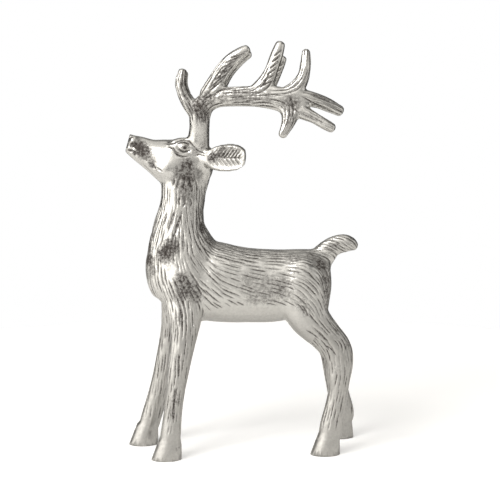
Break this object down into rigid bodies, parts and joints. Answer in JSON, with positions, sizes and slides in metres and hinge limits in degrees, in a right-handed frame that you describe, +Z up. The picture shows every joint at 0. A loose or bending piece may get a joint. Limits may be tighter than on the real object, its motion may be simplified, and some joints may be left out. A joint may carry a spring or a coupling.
{
  "type": "reindeer figurine",
  "caption": "Standing reindeer figurine cast in aluminium, with its head raised, palmate antlers swept back and a combed coat.",
  "frame": {"origin": "middle of the bounding box's footprint, on the plane that the four hooves stand on", "axes": "+Z up along the height, -X the way that the animal faces, -Y its left side"},
  "size_m": [0.1746, 0.081, 0.2999],
  "materials": {
    "cast_aluminium": "sand cast, hand chased and polished, with darker oxide left in the recesses"
  },
  "bodies": {
    "root": {"reindeer": "cast_aluminium"}
  },
  "joints": []
}
